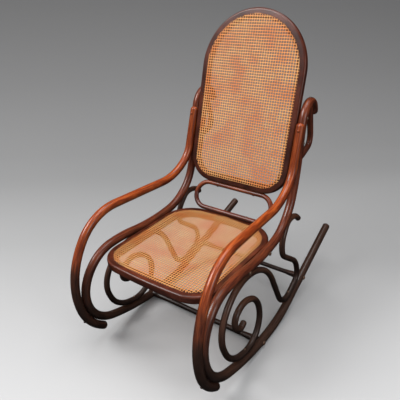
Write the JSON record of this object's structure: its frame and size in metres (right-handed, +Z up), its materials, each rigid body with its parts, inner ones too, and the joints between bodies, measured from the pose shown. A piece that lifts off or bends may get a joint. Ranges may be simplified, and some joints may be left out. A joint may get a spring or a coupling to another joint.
{
  "type": "bentwood rocking chair",
  "caption": "Bentwood rocking chair with woven cane seat and tall arched cane back, curled runners, looping arms and scrolled side frames.",
  "frame": {"origin": "bottom centre of the bounding box, on the floor the runners rest on", "axes": "+X towards the sitter's left, -Y the way the sitter faces, +Z up; the chair stands in its balanced rest position"},
  "size_m": [0.549, 1.0167, 1.0924],
  "materials": {
    "rail_beech": "satin",
    "arm_beech": "gloss",
    "scroll_beech": "satin",
    "ring_beech": "satin",
    "lumbar_beech": "satin",
    "woven_cane": "matte",
    "dark_steel": "satin"
  },
  "bodies": {
    "root": {"side_rail_left": "rail_beech", "side_rail_right": "rail_beech", "arm_left": "arm_beech", "arm_right": "arm_beech", "scroll_left": "scroll_beech", "scroll_right": "scroll_beech", "ear_brace_left": "arm_beech", "ear_brace_right": "arm_beech", "seat_frame": "ring_beech", "back_frame": "ring_beech", "lumbar_ring": "lumbar_beech", "front_stretcher": "scroll_beech", "rear_stretcher": "scroll_beech", "seat_cane": "woven_cane", "back_cane": "woven_cane", "front_stretcher_bolts": "dark_steel", "rear_stretcher_bolts": "dark_steel", "seat_bolts": "dark_steel", "seat_nuts": "dark_steel", "back_screws": "dark_steel", "scroll_screws": "dark_steel", "arm_front_screws": "dark_steel", "arm_top_screws": "dark_steel", "ear_brace_screws": "dark_steel", "lumbar_screws": "dark_steel"}
  },
  "joints": []
}
